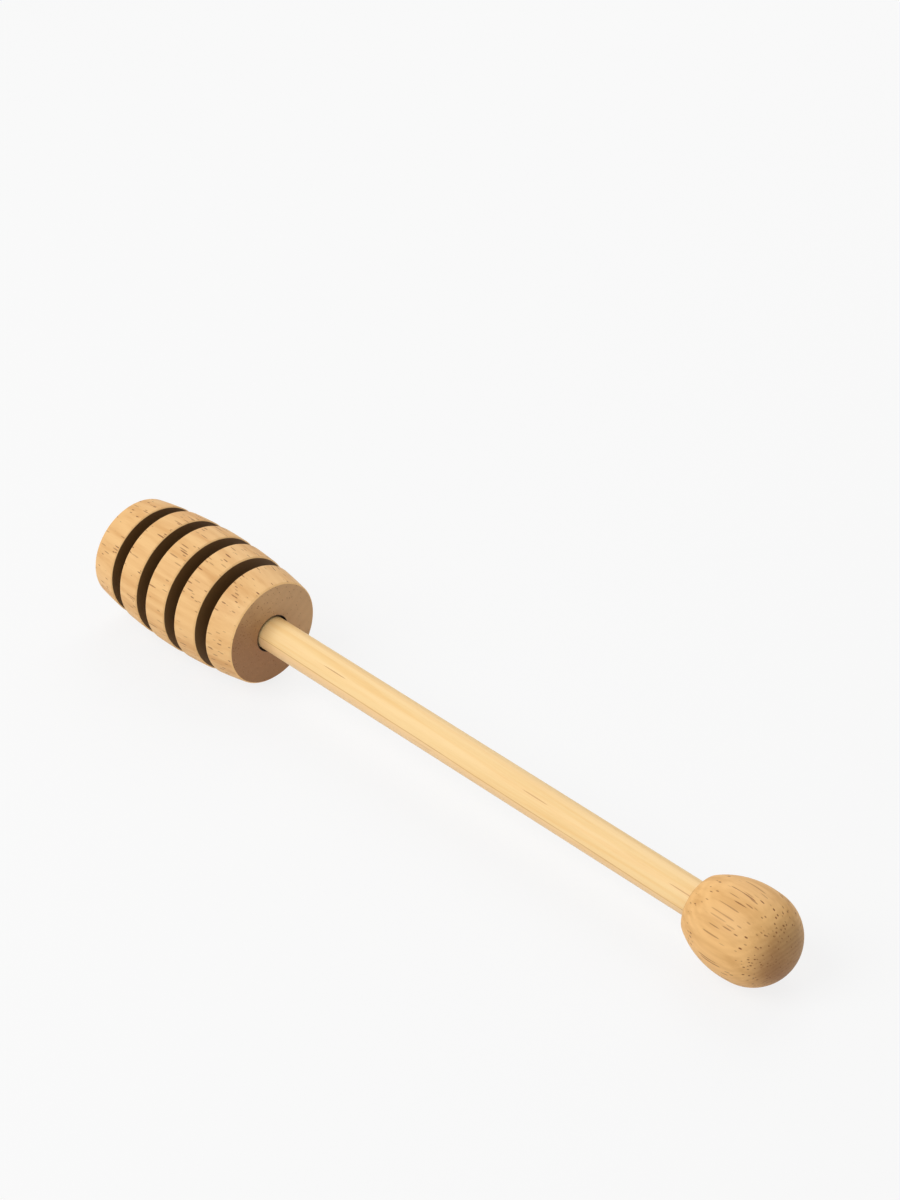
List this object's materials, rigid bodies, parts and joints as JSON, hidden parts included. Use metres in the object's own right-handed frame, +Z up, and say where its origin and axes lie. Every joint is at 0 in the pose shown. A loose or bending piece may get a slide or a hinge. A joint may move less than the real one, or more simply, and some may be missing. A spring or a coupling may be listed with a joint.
{
  "type": "honey dipper",
  "caption": "Wooden honey dipper: a grooved barrel head and an egg-shaped knob glued on the ends of a round dowel handle, lying on a table.",
  "frame": {"origin": "on the table, under the middle of the dipper's box as it lies on the head's barrel and the knob's belly", "axes": "+X along the dipper from head to knob, level with the table; +Z up"},
  "size_m": [0.2002, 0.0292, 0.0293],
  "materials": {
    "turned_head": "sanded rubberwood, unvarnished",
    "dowel": "sanded pale straight-grained dowel",
    "turned_knob": "sanded rubberwood, unvarnished",
    "glue": "cured wood glue"
  },
  "bodies": {
    "root": {"dipper_head": "turned_head", "handle_dowel": "dowel", "end_knob": "turned_knob", "head_glue": "glue", "knob_glue": "glue"}
  },
  "joints": []
}
